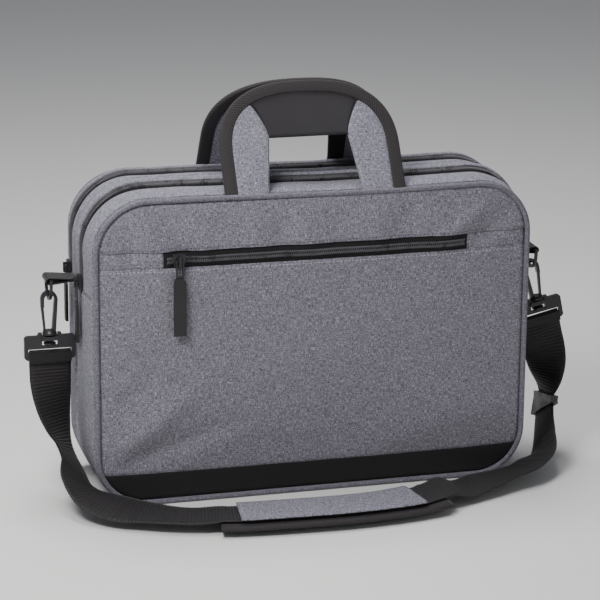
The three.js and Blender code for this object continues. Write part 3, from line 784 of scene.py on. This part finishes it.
def make_pocket_coil():
    z = (POCKET_LOW + POCKET_HIGH) / 2
    reach = POCKET_HALF - 4 * MM
    steps = int(2 * reach / (1.9 * MM)) * COIL_STEPS
    things = []
    for hand in (-1, 1):
        path = []
        for i in range(steps + 1):
            x = -reach + 2 * reach * i / steps
            angle = 2 * math.pi * i / COIL_STEPS
            path.append((x, face_y(-1, x, z) - 0.6 * MM - 0.9 * MM * math.sin(angle),
                         z + hand * (1.35 * MM + 1.15 * MM * math.cos(angle))))
        things.append(sweep(f"pocket_coil_{hand}", path, COIL_WIRE, COIL, hint=(0, 0.5, 0.8)))
    on(join("pocket_coil", things), "front_flap", "zip_coil", "pocket_zip_coil")


# ---- handles ----
ARCH_SPRING = 30 * MM
ARCH_POWER = 2.6
FOOT_DROP = 9.5 * MM
MITRE = 49 * MM
STRAIGHT_SHARE = 0.16
LEG_INNER = HANDLE_HALF - BINDING - LEG
GRIP_LOW = HANDLE_RISE - BINDING - GRIP


def arch_point(inset, t):
    """Point (x, h) on the arch, t from 0 (right foot) to 1 (left foot)."""
    half, top = HANDLE_HALF - inset, HANDLE_RISE - inset
    ends = min(t, 1 - t)
    if ends < STRAIGHT_SHARE:
        return math.copysign(half, 0.5 - t), -FOOT_DROP + (ARCH_SPRING + FOOT_DROP) * ends / STRAIGHT_SHARE
    a = math.pi * (t - STRAIGHT_SHARE) / (1 - 2 * STRAIGHT_SHARE)
    c, s = math.cos(a), math.sin(a)
    x = half * math.copysign(abs(c) ** (2 / ARCH_POWER), c)
    return x, ARCH_SPRING + (top - ARCH_SPRING) * abs(s) ** (2 / ARCH_POWER)


def arch_half_at(inset, h):
    """Half width of the arch at height h."""
    half, top = HANDLE_HALF - inset, HANDLE_RISE - inset
    if h <= ARCH_SPRING:
        return half
    t = min(1.0, (h - ARCH_SPRING) / (top - ARCH_SPRING))
    return half * (1 - t ** ARCH_POWER) ** (1 / ARCH_POWER)


def arch_top_at(inset, x):
    """Height of the arch at x."""
    half, top = HANDLE_HALF - inset, HANDLE_RISE - inset
    t = min(1.0, abs(x) / half)
    return ARCH_SPRING + (top - ARCH_SPRING) * (1 - t ** ARCH_POWER) ** (1 / ARCH_POWER)


def handle_place(side, x, h, d):
    """World point of handle coordinates: x across, h up the lean, d out of the handle's outer face."""
    y = HANDLE_FOOT[0] - h * math.sin(HANDLE_LEAN) + d * math.cos(HANDLE_LEAN)
    return x, side * y, HANDLE_FOOT[1] + h * math.cos(HANDLE_LEAN) + d * math.sin(HANDLE_LEAN)


def padded_patch(name, side, rows, thick, material, puff, black_until=99):
    """A soft patch in a handle's plane from rows of (x, h), rounded off at its edges.

    Its inner face is black up to column black_until.
    """
    rows = np.asarray(rows)
    n, m = rows.shape[:2]
    grids = np.zeros((2, n, m, 3))
    for grid, out in zip(grids, (1, -1)):
        for i in range(n):
            for j in range(m):
                u, v = i / (n - 1), j / (m - 1)
                crown = (1 - (2 * u - 1) ** 8) * (1 - (2 * v - 1) ** 4)
                x, h = rows[i, j]
                rough = wobble(x, side * 5 + out, h, 0.02, 0.35 * MM)
                grid[i, j] = handle_place(side, x, h, out * (thick * 0.32 + puff * crown) + rough)
    uvs = np.concatenate([rows.reshape(-1, 2)] * 2)
    faces, slots = shell_faces(n, m, lambda j: 1 if j < black_until else 0)
    return to_object(name, grids.reshape(-1, 3), faces, [material, BLACK], uvs, slots)


def leg_rows(hand):
    """A leg's outline: it runs up inside the binding and narrows to a mitre beside the grip."""
    taper = 6 * MM
    peak = arch_top_at(BINDING, MITRE)
    rows = []
    for i in range(40):
        t = i / 39
        h = -FOOT_DROP + (peak + FOOT_DROP) * t
        if h < GRIP_LOW:
            a = LEG_INNER - taper * max(0.0, h) / GRIP_LOW
        else:
            a = LEG_INNER - taper + (MITRE - LEG_INNER + taper) * ((h - GRIP_LOW) / (peak - GRIP_LOW)) ** 1.5
        b = max(a + 0.4 * MM, arch_half_at(BINDING - 1.5 * MM, h))
        rows.append([(hand * (a + (b - a) * k / 10), h) for k in range(11)])
    return rows


def grip_rows():
    """The grip's outline, from its straight lower edge up to the arch, between the two mitres."""
    inner = LEG_INNER - 5.6 * MM
    rows = []
    for i in range(49):
        u = -1 + 2 * i / 48
        row = []
        for k in range(15):
            v = k / 14
            x = u * (inner + (MITRE - inner) * v ** 1.4)
            top = arch_top_at(BINDING - 1.5 * MM, x)
            row.append((x, GRIP_LOW + (top - GRIP_LOW) * v))
        rows.append(row)
    return rows


def arch_path(side, inset, d):
    return [handle_place(side, *arch_point(inset, k / 120), d) for k in range(121)]


def make_handle(end, side):
    body = f"{end}_handle"
    normal = (0, side * math.cos(HANDLE_LEAN), math.sin(HANDLE_LEAN))
    for name, hand in (("left_leg", -1), ("right_leg", 1)):
        leg = padded_patch(f"{end}_{name}", side, leg_rows(hand), 4 * MM, CANVAS_SIDE, 0.9 * MM, 5)
        on(leg, body, "grey_canvas", f"{end}_handle_{name}")
        edge = [handle_place(side, hand * (LEG_INNER + (1.6 - 6 * t) * MM), 46 * MM * t, 2 * MM)
                for t in np.linspace(0, 1, 31)]
        row = stitches(f"{end}_{name}_stitch", edge, normal, THREAD, 1.8 * MM, 1.2 * MM, 0.3 * MM)
        on(row, body, "grey_canvas")
    grip = padded_patch(f"{end}_grip", side, grip_rows(), 3.4 * MM, SATIN, 0.8 * MM)
    on(grip, body, "black_fabric", f"{end}_handle_grip")
    section = rounded(BINDING, 5.2 * MM, 2.2 * MM, 4)
    binding = sweep(f"{end}_binding", arch_path(side, BINDING / 2, 0), section, BINDING_TAPE, hint=normal)
    on(binding, body, "woven_binding", f"{end}_handle_binding")
    row = stitches(f"{end}_binding_stitch", arch_path(side, BINDING - 1.8 * MM, 2.6 * MM), normal,
                   DARK_THREAD, 2 * MM, 1.1 * MM, 0.35 * MM)
    on(row, body, "woven_binding")


# ---- shoulder strap ----
# Where the webbing's middle runs, and which way its width lies there, in millimetres.
STRAP_ROUTE = [
    (-228.5, 0, 121.3, 1, 0, 0), (-228.5, -1, 102, 1, 0.15, 0), (-227, -4, 82, 0.9, 0.45, 0),
    (-224, -9, 63, 0.7, 0.7, -0.1), (-220, -17, 47, 0.5, 0.8, -0.3),
    (-215, -32, 33, 0.6, 0.55, -0.5), (-214, -52, 23, 0.75, 0.35, -0.35),
    (-204, -78, 16, 0.7, 0.6, 0.1), (-187, -96, 13, 0.5, 0.8, 0.25),
    (-167, -107, 12, 0.35, 0.92, 0.15), (-146, -117, 11, 0.15, 0.98, 0.06),
    (-124, -124, 10.5, 0.05, 1, 0.03), (-104, -128, 12, 0, 1, 0), (-88, -131, 12, 0, 1, 0),
    (-48, -135, 12.5, 0, 1, 0), (2, -137, 12.5, 0, 1, 0), (42, -135, 12.5, 0, 1, 0),
    (74, -130, 13, 0, 1, 0.03), (94, -125, 15, 0, 1, 0.06), (108, -119, 15, -0.1, 0.97, 0.1),
    (124, -112, 9, -0.2, 0.97, 0.1), (146, -103, 11, -0.3, 0.95, 0.05),
    (167, -94, 12, -0.35, 0.93, -0.1), (191, -85, 14, -0.5, 0.84, -0.2),
    (212, -64, 16, -0.7, 0.58, -0.35), (226, -42, 19, -0.5, 0.38, -0.78),
    (235, -20, 27, -0.3, 0.5, -0.8), (241, -5, 40, -0.1, 0.88, -0.45), (244, 0, 54, 0, 1, -0.1),
    (244, 1, 73, -0.55, 0.83, 0), (242.5, 1, 92, -0.93, 0.35, 0), (239.4, 0, 109, -1, 0, -0.1),
    (236.3, 0, 122.2, -0.98, 0, -0.2),
]
PAD_FROM, PAD_TO = 12, 18
STEPS = 10


def catmull(points):
    """Points on a smooth curve through a list, STEPS for each stretch."""
    points = np.asarray(points, dtype=float)
    first = 2 * points[0] - points[1]
    last = 2 * points[-1] - points[-2]
    full = np.vstack([first, points, last])
    out = []
    for i in range(len(points) - 1):
        a, b, c, d = full[i:i + 4]
        for k in range(STEPS):
            t = k / STEPS
            out.append(0.5 * (2 * b + (c - a) * t + (2 * a - 5 * b + 4 * c - d) * t * t
                              + (3 * b - a - 3 * c + d) * t ** 3))
    out.append(points[-1])
    return np.array(out)


def strap_frames():
    """The strap's middle line, the direction of its width and its upper side's normal, all along."""
    route = np.array(STRAP_ROUTE)
    middle = catmull(route[:, :3] * MM)
    across = catmull(route[:, 3:])
    tangent = np.gradient(middle, axis=0)
    tangent /= np.linalg.norm(tangent, axis=1, keepdims=True)
    across -= (across * tangent).sum(1, keepdims=True) * tangent
    across /= np.linalg.norm(across, axis=1, keepdims=True)
    return middle, across, np.cross(tangent, across)


def band(name, first, last, width, thick, material, lift=0.0, rib=0.0, edge=0.35, columns=12, crown=0.0):
    """A band that follows the strap from one point of its route to another, with rolled edges.

    rib is the height of the ribs across it, and crown a rise along its middle.
    """
    pitch = 3 * MM
    middle, across, normal = (a[first * STEPS:last * STEPS + 1] for a in strap_frames())
    run = runs(middle)
    marks = np.linspace(0, run[-1], max(8, int(run[-1] / (pitch / 6 if rib else pitch))))

    def at(values):
        return np.stack([np.interp(marks, run, values[:, k]) for k in range(3)], axis=1)

    middle, across, normal = at(middle), at(across), at(normal)
    section = []
    for k in range(columns + 1):
        v = -1 + 2 * k / columns
        section.append((v, 1 - (1 - edge) * abs(v) ** 8, 1 - abs(v) ** 3))
    rows = []
    wave = rib * np.sin(2 * math.pi * marks / pitch)
    for face in (1, -1):
        for v, full, hump in (section if face > 0 else section[::-1]):
            half = lift + face * (thick / 2) * full + (crown * hump if face > 0 else 0)
            rows.append(middle + across * (v * width / 2) + normal * (half + face * wave * full)[:, None])
    rows = np.stack(rows, axis=1)
    widths = np.array([v * width / 2 for v, _, _ in section + section[::-1]])
    uvs = np.stack(np.broadcast_arrays(marks[:, None], widths[None]), axis=2)
    faces = tube_faces(*rows.shape[:2])
    return to_object(name, rows.reshape(-1, 3), faces, material, uvs.reshape(-1, 2))


def cover_stitches():
    """A light row of stitches just inside each end of the pad cover."""
    middle, across, normal = strap_frames()
    rows = []
    for end, at in (("left", (PAD_FROM + 1) * STEPS + 1), ("right", (PAD_TO - 1) * STEPS - 1)):
        path = [middle[at] + across[at] * v * 20 * MM + normal[at] * (2.8 + 0.5 * (1 - abs(v) ** 3)) * MM
                for v in np.linspace(-1, 1, 30)]
        piece = stitches(f"cover_stitch_{end}", path, normal[at], THREAD, 2.2 * MM, 1.0 * MM, 0.4 * MM)
        rows.append(on(piece, "root", "grey_canvas"))
    return rows


def strap_fold(end):
    """The webbing's fold round the buckle's lower bar, just above the sewn end."""
    middle, across, _ = strap_frames()
    last, inward = (0, 2) if end == "left" else (-1, -3)
    tip, wide = middle[last], across[last]
    along = (tip - middle[inward]) / np.linalg.norm(tip - middle[inward])
    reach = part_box("left_strap_end")[1][2] - STRAP_ROUTE[0][2] * MM
    profile = [(reach + up * MM, y * MM) for up, y in (
        (-2.5, -1.5), (0.6, -1.7), (2.0, -1.0), (2.5, 0), (2.0, 1.0), (0.6, 1.7), (-2.5, 1.5))]
    widths = np.linspace(-1, 1, 13) * (WEBBING / 2 - 0.6 * MM)
    points = np.array([[tip + along * a + wide * w + np.array([0, y, 0]) for w in widths]
                       for a, y in profile])
    outward = points - (tip + along * profile[0][0])
    piece = skin(f"{end}_strap_fold", points, 0.9 * MM, STRAP, STRAP, outward)
    return on(piece, "root", "black_webbing")


def make_strap():
    strap = band("strap_webbing", 0, len(STRAP_ROUTE) - 1, WEBBING, 1.7 * MM, STRAP, rib=0.3 * MM)
    on(strap, "root", "black_webbing", "shoulder_strap")
    pad = band("pad_body", PAD_FROM, PAD_TO, 56 * MM, 6.4 * MM, BINDING_TAPE, lift=-5.2 * MM, edge=0.2,
               columns=16)
    on(pad, "root", "black_fabric", "shoulder_pad")
    cover = band("pad_cover", PAD_FROM + 1, PAD_TO - 1, 44 * MM, 1.3 * MM, CANVAS_SIDE, lift=2.0 * MM,
                 edge=0.5, crown=0.5 * MM)
    on(cover, "root", "grey_canvas", "shoulder_pad_cover")
    middle = strap_frames()[0]
    others = [cover, pad, "strap_slider"] + cover_stitches()
    for end in ("left", "right"):
        others.append(strap_fold(end))
        others += [f"{end}_strap_end", f"{end}_strap_buckle", f"{end}_snap_hook", f"{end}_hook_gate"]


# ---- kept fittings and hidden pieces ----


def paint(node, material):
    """Gives a kept CAD piece its material."""
    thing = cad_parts[node]
    if not thing.data.materials:
        thing.data.materials.append(material)
    for index in range(len(thing.material_slots)):
        thing.material_slots[index].material = material


def make_fittings():
    for name in ("pocket", "front_zip", "rear_zip"):
        paint(f"{name}_slider", PLASTIC)
        paint(f"{name}_ring", PLASTIC)
        paint(f"{name}_tab", RUBBER)
    for end in ("left", "right"):
        for piece in ("d_ring", "snap_hook", "hook_gate"):
            paint(f"{end}_{piece}", PLASTIC)
        paint(f"{end}_strap_buckle", PLASTIC)
        paint(f"{end}_strap_end", STRAP)
    paint("strap_slider", SLATE)
    paint("padded_divider", LINING)
    paint("pocket_lining", LINING)


def make_ring_tabs():
    """Each D-ring is held by webbing folded round its bar and sewn into the gusset."""
    for end, side in (("left", -1), ("right", 1)):
        low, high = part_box(f"{end}_ring_tab")
        start, outer = sorted((low[0], high[0]), key=abs)
        height, radius = (low[2] + high[2]) / 2, (high[2] - low[2]) / 2
        turn = outer - side * radius
        run = turn - start
        # x, height above the middle, and the outward direction's x and z, along the upper half of the fold
        upper = [(start, 1.0 * MM, 0, 1), (start + run * 0.3, 1.3 * MM, 0, 1),
                 (start + run * 0.7, radius * 0.8, -0.3 * side, 1)]
        lower = [(x, -rise, nx, -nz) for x, rise, nx, nz in reversed(upper)]
        arc = [(turn + side * radius * math.cos(a), radius * math.sin(a), side * math.cos(a), math.sin(a))
               for a in np.linspace(math.pi / 2, -math.pi / 2, 11)]
        profile = upper + arc + lower
        across = np.linspace(low[1] + 0.3 * MM, high[1] - 0.3 * MM, 13)
        points = np.array([[(x, y, height + rise) for y in across] for x, rise, _, _ in profile])
        outward = np.array([[(nx, 0, nz) for _ in across] for _, _, nx, nz in profile])
        piece = skin(f"{end}_ring_loop", points, 0.9 * MM, STRAP, STRAP, outward)
        on(piece, "root", "black_webbing", f"{end}_ring_tab")


# ---- floor and light ----


def make_stage():
    bpy.ops.mesh.primitive_plane_add(size=14, location=(0, 0, -0.2 * MM))
    floor = bpy.context.object
    floor.name = "floor"
    mat, tree, shader = node_material("floor", 0.8, 0.2)
    shader.inputs["Base Color"].default_value = (0.80, 0.79, 0.77, 1)
    floor.data.materials.append(mat)
    world = bpy.data.worlds.new("studio")
    world.use_nodes = True
    world.node_tree.nodes["Background"].inputs[0].default_value = (0.84, 0.88, 0.96, 1)
    world.node_tree.nodes["Background"].inputs[1].default_value = 0.24
    bpy.context.scene.world = world
    # name, place, size in metres, power in watts
    lamps = [("key", (-0.55, -0.55, 0.95), 0.4, 10), ("fill", (1.5, -2.2, 1.0), 1.6, 5),
             ("top", (-0.1, 0.4, 1.7), 0.8, 22)]
    for name, place_at, size, power in lamps:
        data = bpy.data.lights.new(name, "AREA")
        data.size = size
        data.energy = power
        lamp = bpy.data.objects.new(name, data)
        lamp.location = place_at
        aim = Vector((0, 0, 0.16)) - Vector(place_at)
        lamp.rotation_euler = aim.to_track_quat("-Z", "Y").to_euler()
        bpy.context.scene.collection.objects.link(lamp)


make_strap()
make_panels()
make_front_seams()
make_piping()
make_gussets()
make_zips()
make_pocket_coil()
make_handle("front", -1)
make_handle("rear", 1)
make_fittings()
make_ring_tabs()
make_stage()
